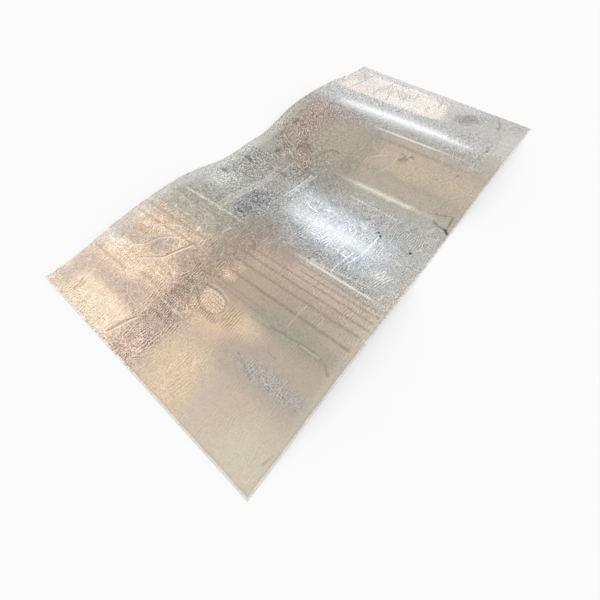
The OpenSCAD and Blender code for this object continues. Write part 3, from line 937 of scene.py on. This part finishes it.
@dataclass(frozen=True)
class ZincGrain:
    """The lighter and darker grain of the zinc: crystals, swirls, fine grain, streaks and clouds.

    The streaks lie on the left between the waves, and the far streaks from the far wave's crest on.
    Each start, side or edge is a pair: where a layer begins to show, and where all of it shows.
    """

    crystal_size: float = 0.0065
    crystal_drift: Drift = Drift(1 / 220, 0.002)
    crystal_depth: float = 0.18
    swirls: Clouds = Clouds(0.014, 3.0, 0.6, swirl=1.2, depth=0.35)
    fine: Clouds = Clouds(0.0040, 2.0, 0.6, depth=1.75)
    far_fine_share: float = 0.45
    broad: Clouds = Clouds(0.035, 3.0, 0.6, depth=0.25)
    streaks: Clouds = Clouds(0.0055, 1.0, 0.6, depth=1.45)
    far_streaks: Clouds = Clouds(0.0085, 1.0, 0.6, depth=1.35)
    streak_turn: float = math.radians(32)
    streak_squeeze: Place = (0.5, 1.0, 1.0)
    far_start: Point = (0.42, 0.58)
    hollow_side: Point = (-0.02, 0.16)
    hollow_start: Point = (-0.46, -0.20)
    ridges: Clouds = Clouds(0.013, swirl=0.6, depth=0.28)
    ridge_levels: Levels = ((0.40, 0.2), (0.50, 1.0), (0.60, 0.2))
    ripple_size: float = 0.0085
    ripple_depth: float = 0.42
    ripple_bend: float = 15.0
    ripple_detail: float = 2.0
    ripple_spread: float = 0.35
    ripple_rough: float = 0.5
    ripple_places: Clouds = Clouds(1 / 16)
    ripple_edge: Point = (0.42, 0.62)
    scratches: Clouds = Clouds(0.045, depth=0.40)
    scratch_drift: Drift = Drift(1 / 9, 0.03)
    scratch_levels: Levels = ((0.455, 0.5), (0.480, 0.1), (0.500, 1.0), (0.530, 0.5))

    def crystals(self, desk: NodeDesk, flat: Socket) -> Socket:
        """Gives each zinc crystal its own number, with wandering borders between them."""
        return desk.crystals(desk.warped(flat, self.crystal_drift), self.crystal_size)

    def lay(self, desk: NodeDesk, flat: Socket, crystal: Socket) -> Socket:
        """Adds up the layers of the grain.

        Args:
            desk: The material's desk.
            flat: Where on the face it is read.
            crystal: Each crystal's number.

        Returns:
            The grain, around 0.
        """
        swirls = desk.cloudy(flat, self.swirls)
        along, across = desk.split(flat)
        far = desk.fade(along, *self.far_start)
        left = desk.math(
            "MULTIPLY", desk.fade(across, *self.hollow_side), desk.fade(along, *self.hollow_start)
        )
        hollow = desk.math("SUBTRACT", left, desk.math("MULTIPLY", left, far))
        fine = desk.cloudy(flat, self.fine)
        kept = desk.math("MULTIPLY_ADD", far, self.far_fine_share - 1.0, 1.0)
        layers = (
            (self._streaks(desk, flat, self.streaks, hollow), self.streaks.depth),
            (self._streaks(desk, flat, self.far_streaks, far), self.far_streaks.depth),
            (crystal, self.crystal_depth),
            (swirls, self.swirls.depth),
            (self._only(desk, fine, kept), self.fine.depth),
            (desk.level(desk.cloudy(flat, self.ridges), self.ridge_levels), self.ridges.depth),
            (self._ripples(desk, flat), self.ripple_depth),
            (self._scratches(desk, flat), self.scratches.depth),
            (desk.cloudy(flat, self.broad), self.broad.depth),
        )
        total: Value = 0.0
        for layer, depth in layers:
            total = desk.math("MULTIPLY_ADD", desk.math("SUBTRACT", layer, 0.5), 2 * depth, total)
        return total

    def _only(self, desk: NodeDesk, grain: Socket, where: Value) -> Socket:
        """Keeps a grain in one part of the face.

        Args:
            desk: The material's desk.
            grain: The grain, from 0 to 1.
            where: How much of it is kept at each place.

        Returns:
            The grain, and 0.5 where none of it is kept.
        """
        return desk.math("MULTIPLY_ADD", desk.math("SUBTRACT", grain, 0.5), where, 0.5)

    def _streaks(self, desk: NodeDesk, flat: Socket, clouds: Clouds, where: Value) -> Socket:
        """Draws a coarse streaky grain in one part of the face.

        Args:
            desk: The material's desk.
            flat: Where on the face it is read.
            clouds: The grain before it is drawn out.
            where: How much of it is kept at each place.

        Returns:
            The grain, from 0 to 1.
        """
        drawn = desk.stretched(desk.turned(flat, -self.streak_turn), self.streak_squeeze)
        return self._only(desk, desk.cloudy(drawn, clouds), where)

    def _ripples(self, desk: NodeDesk, flat: Socket) -> Socket:
        """Lays wavy lines along the sheet, in places only.

        Args:
            desk: The material's desk.
            flat: Where on the face it is read.

        Returns:
            0.5 where there are none, and from 0 to 1 across each line.
        """
        waves = desk.add("TexWave", wave_type="BANDS", bands_direction="Y", wave_profile="SIN")
        desk.feed(waves.inputs["Vector"], flat)
        desk.feed(waves.inputs["Scale"], WAVE_REPEAT / self.ripple_size)
        desk.feed(waves.inputs["Distortion"], self.ripple_bend)
        desk.feed(waves.inputs["Detail"], self.ripple_detail)
        desk.feed(waves.inputs["Detail Scale"], self.ripple_spread)
        desk.feed(waves.inputs["Detail Roughness"], self.ripple_rough)
        where = desk.fade(desk.cloudy(flat, self.ripple_places), *self.ripple_edge)
        return self._only(desk, waves.outputs["Fac"], where)

    def _scratches(self, desk: NodeDesk, flat: Socket) -> Socket:
        """Draws long curved scratches, each with a pale side and a dark side.

        Args:
            desk: The material's desk.
            flat: Where on the face it is read.

        Returns:
            0.5 off the scratches, more on a pale side and less on a dark side.
        """
        clouds = desk.cloudy(desk.warped(flat, self.scratch_drift), self.scratches)
        return desk.level(clouds, self.scratch_levels)


@dataclass(frozen=True)
class ZincWear:
    """The tones under the grain and the wear over it: patches, soles, the pale rim and strokes. Painted
    reflection lies in the tones, some patches and the rim, and creases carry painted highlight and shade.

    Each border or edge is a pair: where a tone or a mark begins to show, and where all of it shows.
    """

    tone_drift: Drift = Drift(1 / 8, 0.016)
    left_border: Point = (0.09, 0.17)
    right_border: Point = (0.03, -0.08)
    patch_drift: Drift = Drift(1 / 30, 0.010)
    line_drift: Drift = Drift(1 / 12, 0.0022)
    line_half: float = 0.012
    sole_drift: Drift = Drift(1 / 45, 0.0066)
    sole_edge: Point = (0.1, 1.5)
    sole_square: float = 3.0
    sole_soft: float = 0.4
    sole_share: float = 0.60
    # The pale rim is a painted reflection of the edges
    rim_drift: Drift = Drift(1 / 25, 0.003)
    rim_width: float = 0.007
    rim_core: float = 0.0028
    rim_reflection_share: float = 0.75
    rim_reflection_colour: Colour = (0.80, 0.79, 0.76)
    # A thin dark line inside the pale rim
    dark_line_gap: float = 0.00805
    dark_line_half: float = 0.0028
    dark_line_share: float = 0.30
    dark_line_colour: Colour = (0.42, 0.33, 0.29)
    stroke_drift: Drift = Drift(1 / 45, 0.0022)
    # A crease's dark line is painted shade, offset to the same side of every crease
    painted_shade_offset: Point = (0.0025, 0.0060)
    painted_shade_share: float = 0.9
    gaps: Clouds = Clouds(1 / 70, 3.0)
    gap_edge: Point = (0.30, 0.60)
    gap_share: float = 0.5
    # Colours of rubbed zinc, also used for the painted highlights of creases
    rubbed: Tones = (
        (-0.45, (0.96, 0.81, 0.66)),
        (-0.34, (0.92, 0.94, 0.95)),
        (0.02, (0.92, 0.94, 0.95)),
        (0.14, (0.95, 0.87, 0.76)),
    )
    smeared: Colour = (0.22, 0.18, 0.14)
    pitted: Colour = (0.03, 0.03, 0.03)

    def tones(self, desk: NodeDesk, flat: Socket, area: bpy.types.NodeTree) -> tuple[Socket, Socket]:
        """Lays the broad tones, partly the zinc's own and partly painted reflection: three lanes along the
        sheet, then the patches.

        Args:
            desk: The material's desk.
            flat: Where on the face it is read.
            area: The patch group.

        Returns:
            The colour, and how strongly the grain shows.
        """
        along, across = desk.split(desk.warped(flat, self.tone_drift))
        leftward = desk.fade(across, *self.left_border)
        rightward = desk.fade(across, *self.right_border)
        lanes = (LEFT_LANE, MIDDLE_LANE, RIGHT_LANE)
        tones = [desk.ramp(along, lane.tones, LANE_SPAN) for lane in lanes]
        grains = [desk.level(along, lane.grain, LANE_SPAN) for lane in lanes]
        tone, strength = (
            desk.mix(rightward, desk.mix(leftward, middle, left), right)
            for left, middle, right in (tones, grains)
        )
        ragged = desk.warped(flat, self.patch_drift)
        steady = desk.warped(flat, self.line_drift)
        for patch in PATCHES:
            place = steady if min(patch.half) < self.line_half else ragged
            cover = self._cover(desk, area, place, patch)
            tone = desk.mix(cover, tone, patch.colour)
            if patch.grain is not None:
                strength = desk.mix(cover, strength, (patch.grain,) * 3)
        return tone, strength

    def _cover(self, desk: NodeDesk, area: bpy.types.NodeTree, place: Socket, patch: Patch) -> Socket:
        """Gives how far a patch covers each place, from 0 to its strength.

        Args:
            desk: The material's desk.
            area: The patch group.
            place: Where on the face it is read.
            patch: The patch.

        Returns:
            The cover.
        """
        mask = desk.group(
            area,
            place=place,
            centre=(*patch.centre, 0.0),
            half=(*patch.half, 1.0),
            turn=math.radians(patch.turn),
            square=patch.square,
            soft=patch.soft,
        ).outputs[0]
        return desk.math("MULTIPLY", mask, patch.strength)

    def soles(self, desk: NodeDesk, flat: Socket, area: bpy.types.NodeTree, tone: Socket) -> Socket:
        """Prints the rows of dots and bars of the soles.

        Args:
            desk: The material's desk.
            flat: Where on the face it is read.
            area: The patch group.
            tone: The colour below.

        Returns:
            The colour.
        """
        shaky = desk.warped(flat, self.sole_drift)
        along, across = desk.split(shaky)
        total: Value = 0.0
        for tread in TREADS:
            waves = [
                desk.math("SINE", desk.math("MULTIPLY", side, 2 * math.pi / step)) if step else 1.0
                for side, step in zip((along, across), tread.pitch)
            ]
            dots = desk.fade(desk.math("ADD", *waves), *self.sole_edge)
            print_area = Patch(
                tread.centre,
                tread.half,
                self.smeared,
                tread.strength,
                square=self.sole_square,
                soft=self.sole_soft,
            )
            cover = self._cover(desk, area, shaky, print_area)
            total = desk.math("MAXIMUM", total, desk.math("MULTIPLY", dots, cover))
        return desk.mix(desk.math("MULTIPLY", total, self.sole_share), tone, self.smeared)

    def rim(self, desk: NodeDesk, flat: Socket, tone: Socket) -> Socket:
        """Paints a pale reflection along the edges of the face, and draws a thin dark line inside that rim.

        Args:
            desk: The material's desk.
            flat: Where on the face it is read.
            tone: The colour below.

        Returns:
            The colour.
        """
        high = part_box(SHEET_NODE)[1]
        along, across = desk.split(desk.warped(flat, self.rim_drift))
        side_gap = desk.math("SUBTRACT", high.y, desk.math("ABSOLUTE", across))
        end_gap = desk.math("SUBTRACT", high.x, desk.math("ABSOLUTE", along))
        gap = desk.math("MINIMUM", side_gap, end_gap)
        # Painted reflection: a pale band along the edges of the face
        rim_reflection = desk.fade(gap, self.rim_width, self.rim_core)
        tone = desk.mix(desk.math("MULTIPLY", rim_reflection, self.rim_reflection_share), tone, self.rim_reflection_colour)
        inside = desk.math("ABSOLUTE", desk.math("SUBTRACT", gap, self.dark_line_gap))
        dark_line = desk.fade(inside, self.dark_line_half, 0.0)
        return desk.mix(desk.math("MULTIPLY", dark_line, self.dark_line_share), tone, self.dark_line_colour)

    def marks(self, desk: NodeDesk, flat: Socket, tone: Socket) -> Socket:
        """Draws the strokes.

        Args:
            desk: The material's desk.
            flat: Where on the face it is read.
            tone: The colour below.

        Returns:
            The colour.
        """
        dark, pale, pit = self._masks(desk, desk.warped(flat, self.stroke_drift))
        gaps = desk.fade(desk.cloudy(flat, self.gaps), *self.gap_edge)
        kept = desk.math("MULTIPLY_ADD", gaps, self.gap_share, 1.0 - self.gap_share)
        tone = desk.mix(desk.held(desk.math("MULTIPLY", dark, kept)), tone, self.smeared)
        rubbed = desk.ramp(desk.split(flat)[0], self.rubbed, LANE_SPAN)
        tone = desk.mix(desk.held(desk.math("MULTIPLY", pale, kept)), tone, rubbed)
        return desk.mix(desk.held(pit), tone, self.pitted)

    def _masks(self, desk: NodeDesk, place: Socket) -> tuple[Value, Value, Value]:
        """Gathers the strokes by what they leave.

        Args:
            desk: The material's desk.
            place: Where on the face they are read.

        Returns:
            How far each place is dark from smears and painted crease shade, bright from rubbing and painted
            crease highlights, and pitted.
        """
        leg_group = stroke_group(self.painted_shade_offset)
        dark: Value = 0.0
        pale: Value = 0.0
        pit: Value = 0.0
        for stroke in PAINTED_STRIPE_REFLECTIONS + NEAR_MARKS + HOLLOW_MARKS + FAR_MARKS:
            for start, end in zip(stroke.path, stroke.path[1:]):
                leg = desk.group(
                    leg_group, place=place, start=(*start, 0.0), end=(*end, 0.0), width=stroke.width
                )
                line, shade = (desk.math("MULTIPLY", mask, stroke.strength) for mask in leg.outputs)
                if stroke.mark is Mark.PITTED:
                    pit = desk.math("MAXIMUM", pit, line)
                elif stroke.mark is Mark.SMEARED:
                    dark = desk.math("MAXIMUM", dark, line)
                else:
                    pale = desk.math("MAXIMUM", pale, line)
                # A crease also gets a line of painted shade beside it
                if stroke.mark is Mark.CREASED:
                    dark = desk.math("MAXIMUM", dark, desk.math("MULTIPLY", shade, self.painted_shade_share))
        return dark, pale, pit


@dataclass(frozen=True)
class ZincFace:
    """The galvanised top face: its grain, its wear, its gloss and its fine relief."""

    grain: ZincGrain = ZincGrain()
    wear: ZincWear = ZincWear()
    bright_rough: float = 0.117
    dull_rough: float = 0.26
    gloss_edge: float = 0.08
    relief: float = 0.00002

    def build(self) -> bpy.types.Material:
        """Makes the material.

        Returns:
            The material.
        """
        material, desk, shader = open_metal("zinc_face")
        place = desk.add("TexCoord").outputs["Object"]
        flat = desk.stretched(place, (1.0, 1.0, 0.0))
        along = desk.split(flat)[0]
        crystal = self.grain.crystals(desk, flat)
        area = patch_group()
        tone, strength = self.wear.tones(desk, flat, area)
        tone = self.wear.soles(desk, flat, area, tone)
        tone = self.wear.rim(desk, flat, tone)
        total = self.grain.lay(desk, flat, crystal)
        gain = desk.math("MULTIPLY_ADD", total, strength, 1.0)
        tone = desk.vector("MULTIPLY", tone, gain).outputs[0]
        desk.feed(shader.inputs["Base Color"], self.wear.marks(desk, flat, tone))
        desk.feed(shader.inputs["Roughness"], self._roughness(desk, along, crystal))
        desk.feed(shader.inputs["Normal"], self._bumps(desk, along, total))
        return material

    def _roughness(self, desk: NodeDesk, along: Socket, crystal: Socket) -> Socket:
        """Makes each crystal bright or dull, with more dull ones on the duller stretches.

        Args:
            desk: The material's desk.
            along: The place along the sheet.
            crystal: Each crystal's number.

        Returns:
            The roughness.
        """
        share = desk.level(along, DULL_SHARE, LANE_SPAN)
        over = desk.math("SUBTRACT", share, crystal)
        dull = desk.fade(over, -self.gloss_edge, self.gloss_edge)
        rough = desk.add("MapRange")
        desk.feed(rough.inputs["Value"], dull)
        desk.feed(rough.inputs["To Min"], self.bright_rough)
        desk.feed(rough.inputs["To Max"], self.dull_rough)
        return rough.outputs["Result"]

    def _bumps(self, desk: NodeDesk, along: Socket, total: Socket) -> Socket:
        """Raises the grain a little, so that it breaks up what the face mirrors.

        Args:
            desk: The material's desk.
            along: The place along the sheet.
            total: The grain, around 0.

        Returns:
            The direction that each place faces.
        """
        relief = desk.add("Bump")
        desk.feed(relief.inputs["Distance"], self.relief)
        share = desk.level(along, RELIEF_SHARE, LANE_SPAN)
        desk.feed(relief.inputs["Height"], desk.math("MULTIPLY", total, share))
        return relief.outputs[0]


@dataclass(frozen=True)
class ZincUnderside:
    """The underside: the same zinc, dull and without the marks of the top."""

    colour: Colour = (0.50, 0.49, 0.46)
    roughness: float = 0.35
    crystal_size: float = 0.0065
    crystal_depth: float = 0.2
    clouds: Clouds = Clouds(1 / 30, 5.0, 0.65, depth=0.6)
    base: float = 0.6

    def build(self) -> bpy.types.Material:
        """Makes the material.

        Returns:
            The material.
        """
        material, desk, shader = open_metal("zinc_underside")
        place = desk.add("TexCoord").outputs["Object"]
        clouds = desk.cloudy(place, self.clouds)
        crystal = desk.crystals(place, self.crystal_size)
        gain = desk.math("MULTIPLY_ADD", crystal, self.crystal_depth, self.base)
        gain = desk.math("MULTIPLY_ADD", clouds, self.clouds.depth, gain)
        desk.feed(shader.inputs["Base Color"], desk.vector("MULTIPLY", self.colour, gain).outputs[0])
        desk.feed(shader.inputs["Roughness"], self.roughness)
        return material


@dataclass(frozen=True)
class ShearedEdge:
    """The cut edge: bare steel, dragged across its thickness by the shear, darkened partly as oxidised steel
    and partly as painted shade.
    """

    # Dark partly as oxidised steel and partly as painted shade of the edge
    colour: Colour = (0.20, 0.18, 0.16)
    roughness: float = 0.5
    drag_scale: Place = (900.0, 900.0, 120.0)
    drag: Clouds = Clouds(1.0, 2.0, depth=0.8)
    base: float = 0.6

    def build(self) -> bpy.types.Material:
        """Makes the material.

        Returns:
            The material.
        """
        material, desk, shader = open_metal("sheared_edge")
        place = desk.add("TexCoord").outputs["Object"]
        drag = desk.cloudy(desk.stretched(place, self.drag_scale), self.drag)
        gain = desk.math("MULTIPLY_ADD", drag, self.drag.depth, self.base)
        desk.feed(shader.inputs["Base Color"], desk.vector("MULTIPLY", self.colour, gain).outputs[0])
        desk.feed(shader.inputs["Roughness"], self.roughness)
        return material


@dataclass
class SteelSheet:
    """The rolled sheet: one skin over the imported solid's top, thickened to the sheet's gauge."""

    face: ZincFace = field(default_factory=ZincFace)
    underside: ZincUnderside = field(default_factory=ZincUnderside)
    edge: ShearedEdge = field(default_factory=ShearedEdge)
    thickness: float = 0.002
    edge_inset: float = 0.0003
    cells_along: int = 70
    cells_across: int = 36
    smooth_levels: int = 2
    edge_round: float = 0.0003
    edge_angle: float = math.radians(60)
    smooth_angle: float = math.radians(40)
    piece: bpy.types.Object | None = field(default=None, init=False)

    def build(self) -> bpy.types.Object:
        """Models the sheet and dresses it.

        Returns:
            The finished piece.
        """
        self._lay_grid()
        self._drop()
        self._press(DENTS)
        self._smooth()
        self._press(FOLD)
        self._thicken()
        self._dress()
        return self.piece

    def _lay_grid(self) -> None:
        """Lays a grid of flat cells above the solid, just inside its outline."""
        low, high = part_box(SHEET_NODE)
        clear_selection()
        bpy.ops.mesh.primitive_grid_add(
            x_subdivisions=self.cells_along, y_subdivisions=self.cells_across, size=1.0
        )
        self.piece = bpy.context.object
        self.piece.name = self.piece.data.name = "rolled_sheet"
        bpy.ops.object.mode_set(mode="EDIT")
        bpy.ops.mesh.select_all(action="SELECT")
        length = high.x - low.x - 2 * self.edge_inset
        width = high.y - low.y - 2 * self.edge_inset
        bpy.ops.transform.resize(value=(length, width, 1.0))
        bpy.ops.transform.translate(value=((low.x + high.x) / 2, (low.y + high.y) / 2, 2 * high.z))
        bpy.ops.object.mode_set(mode="OBJECT")

    def _drop(self) -> None:
        """Drops the grid on the solid's top."""
        drop = self.piece.modifiers.new("drop", "SHRINKWRAP")
        drop.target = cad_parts[SHEET_NODE]
        drop.wrap_method = "PROJECT"
        drop.use_project_z = True
        drop.use_negative_direction = True
        drop.use_positive_direction = False
        bpy.ops.object.modifier_apply(modifier=drop.name)

    def _smooth(self) -> None:
        """Rounds the grid's cells into one smooth skin."""
        smooth = self.piece.modifiers.new("smooth", "SUBSURF")
        smooth.levels = smooth.render_levels = self.smooth_levels
        smooth.boundary_smooth = "PRESERVE_CORNERS"
        bpy.ops.object.modifier_apply(modifier=smooth.name)

    def _press(self, dents: tuple[Dent, ...]) -> None:
        """Pushes the skin up or down at each dent, less and less away from its centre.

        Args:
            dents: The dents.
        """
        for dent in dents:
            bpy.ops.object.mode_set(mode="EDIT")
            bpy.ops.mesh.select_all(action="DESELECT")
            bpy.ops.object.mode_set(mode="OBJECT")
            middle = Vector(dent.centre)
            nearest = min(self.piece.data.vertices, key=lambda v: (v.co.xy - middle).length)
            nearest.select = True
            bpy.ops.object.mode_set(mode="EDIT")
            bpy.ops.transform.translate(
                value=(0, 0, dent.lift),
                use_proportional_edit=True,
                proportional_edit_falloff="SMOOTH",
                proportional_size=dent.spread,
            )
            bpy.ops.object.mode_set(mode="OBJECT")

    def _thicken(self) -> None:
        """Gives the skin its gauge below its top face, and rounds the sheared edges a little."""
        for finish in (self.face, self.underside, self.edge):
            self.piece.data.materials.append(finish.build())
        gauge = self.piece.modifiers.new("gauge", "SOLIDIFY")
        gauge.thickness = self.thickness
        gauge.offset = -1.0
        gauge.use_even_offset = True
        gauge.material_offset = UNDERSIDE_SLOT
        gauge.material_offset_rim = EDGE_SLOT
        bpy.ops.object.modifier_apply(modifier=gauge.name)
        bevel = self.piece.modifiers.new("edge_round", "BEVEL")
        bevel.width = self.edge_round
        bevel.segments = 1
        bevel.limit_method = "ANGLE"
        bevel.angle_limit = self.edge_angle
        bevel.material = EDGE_SLOT
        bpy.ops.object.modifier_apply(modifier=bevel.name)

    def _dress(self) -> None:
        """Shades the faces smoothly and leaves the edges crisp."""
        clear_selection()
        self.piece.select_set(True)
        bpy.context.view_layer.objects.active = self.piece
        bpy.ops.object.shade_smooth_by_angle(angle=self.smooth_angle)


def clear_selection() -> None:
    """Leaves object mode and deselects everything, so that an operator acts on one piece alone."""
    if bpy.context.object and bpy.context.object.mode != "OBJECT":
        bpy.ops.object.mode_set(mode="OBJECT")
    bpy.ops.object.select_all(action="DESELECT")


@dataclass(frozen=True)
class Lamp:
    """An elliptical area lamp: where it hangs and points, its size, its brightness and its roll.

    The roll is in degrees. A lamp that fades is bright in the middle and dark at its rim.
    """

    name: str
    place: Place
    aim: Place
    size: Point
    radiance: float
    roll: float = 0.0
    fades: bool = False
    colour: Colour = (0.88, 0.94, 1.0)


@dataclass
class Studio:
    """Floor, light and camera around the sheet."""

    floor_size: float = 40.0
    floor_drop: float = 0.0002
    floor_colour: Colour = (0.9, 0.9, 0.9)
    floor_glow: float = 0.6
    camera_place: Place = (-0.82805, -0.52664, 0.82392)
    camera_dip: float = 61.75
    camera_heading: float = 40.07
    lens: float = 16.755
    film_width: float = 36.0
    nearest_view: float = 0.01
    strip: Lamp = Lamp("strip_lamp", (6.275, 1.955, 2.411), (0.0, 0.0, 0.0), (3.36, 0.295), 1.48, 0.8)
    softbox: Lamp = Lamp(
        "softbox", (0.024, -0.101, 0.159), (-0.20, -0.17, 0.02), (0.72, 0.12), 1.30, -15.9, True
    )

    def build(self) -> None:
        """Builds the floor, the lamps, the surroundings and the camera."""
        self._floor()
        self._world()
        self._hang(self.strip)
        self._hang(self.softbox)
        self._camera()

    def _floor(self) -> None:
        """Lays the pale floor."""
        clear_selection()
        bpy.ops.mesh.primitive_plane_add(size=self.floor_size, location=(0, 0, -self.floor_drop))
        floor = bpy.context.object
        floor.name = "floor"
        floor.data.materials.append(self._floor_paint())

    def _floor_paint(self) -> bpy.types.Material:
        """Makes the floor's matt finish, lifted towards white where the camera sees it.

        Returns:
            The material.
        """
        material = bpy.data.materials.new("pale_floor")
        material.use_nodes = True
        material.node_tree.nodes.clear()
        desk = NodeDesk(material.node_tree)
        matt = desk.add("BsdfDiffuse")
        desk.feed(matt.inputs["Color"], self.floor_colour)
        glow = desk.add("Emission")
        seen = desk.add("LightPath").outputs["Is Camera Ray"]
        mixer = desk.add("MixShader")
        desk.feed(mixer.inputs[0], desk.math("MULTIPLY", seen, self.floor_glow))
        desk.feed(mixer.inputs[1], matt.outputs[0])
        desk.feed(mixer.inputs[2], glow.outputs[0])
        desk.feed(desk.add("OutputMaterial").inputs["Surface"], mixer.outputs[0])
        return material

    def _world(self) -> None:
        """Surrounds the sheet with even white light."""
        world = bpy.data.worlds.new("studio")
        bpy.context.scene.world = world
        world.use_nodes = True
        background = world.node_tree.nodes["Background"]
        background.inputs["Color"].default_value = (1.0, 1.0, 1.0, 1.0)
        background.inputs["Strength"].default_value = 1.0

    def _hang(self, lamp: Lamp) -> None:
        """Hangs an elliptical lamp and turns it to what it lights.

        Args:
            lamp: The lamp.
        """
        data = bpy.data.lights.new(lamp.name, "AREA")
        data.shape = "ELLIPSE"
        data.size, data.size_y = lamp.size
        data.color = lamp.colour
        area = math.pi / 4 * data.size * data.size_y
        data.energy = lamp.radiance * math.pi * area
        fitting = bpy.data.objects.new(lamp.name, data)
        fitting.location = lamp.place
        backwards = Vector(lamp.place) - Vector(lamp.aim)
        facing = backwards.to_track_quat("Z", "Y")
        fitting.rotation_euler = (facing @ Quaternion((0, 0, 1), math.radians(lamp.roll))).to_euler()
        fitting.visible_camera = False
        if lamp.fades:
            self._fade(data)
        bpy.context.scene.collection.objects.link(fitting)

    def _fade(self, data: bpy.types.Light) -> None:
        """Makes a lamp fade from its middle to its rim.

        Args:
            data: The lamp's data.
        """
        middle = (0.5, 0.5)
        rim_reach = 0.5**2
        data.use_nodes = True
        desk = NodeDesk(data.node_tree)
        place = desk.add("NewGeometry").outputs["Parametric"]
        spoke = desk.vector("SUBTRACT", place, (*middle, 0.0)).outputs[0]
        reach = desk.vector("DOT_PRODUCT", spoke, spoke).outputs["Value"]
        glow = desk.math("MAXIMUM", desk.math("MULTIPLY_ADD", reach, -1 / rim_reach, 1.0), 0.0)
        desk.feed(data.node_tree.nodes["Emission"].inputs["Strength"], glow)

    def _camera(self) -> None:
        """Places the camera above the near right corner, looking along the sheet."""
        data = bpy.data.cameras.new("camera")
        data.sensor_width = self.film_width
        data.lens = self.lens
        data.clip_start = self.nearest_view
        camera = bpy.data.objects.new("camera", data)
        camera.location = self.camera_place
        camera.rotation_euler = (
            math.radians(90 - self.camera_dip),
            0.0,
            math.radians(self.camera_heading - 90),
        )
        bpy.context.scene.collection.objects.link(camera)
        bpy.context.scene.camera = camera


def main() -> None:
    """Builds the sheet and its studio."""
    logging.basicConfig(level=logging.INFO, format="%(message)s")
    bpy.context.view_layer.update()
    bpy.context.scene.view_settings.view_transform = "Standard"
    piece = SteelSheet().build()
    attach(piece, BODY)
    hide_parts(SHEET_NODE)
    log.info("%s: %d faces", piece.name, len(piece.data.polygons))
    Studio().build()


if __name__ == "__main__":
    main()
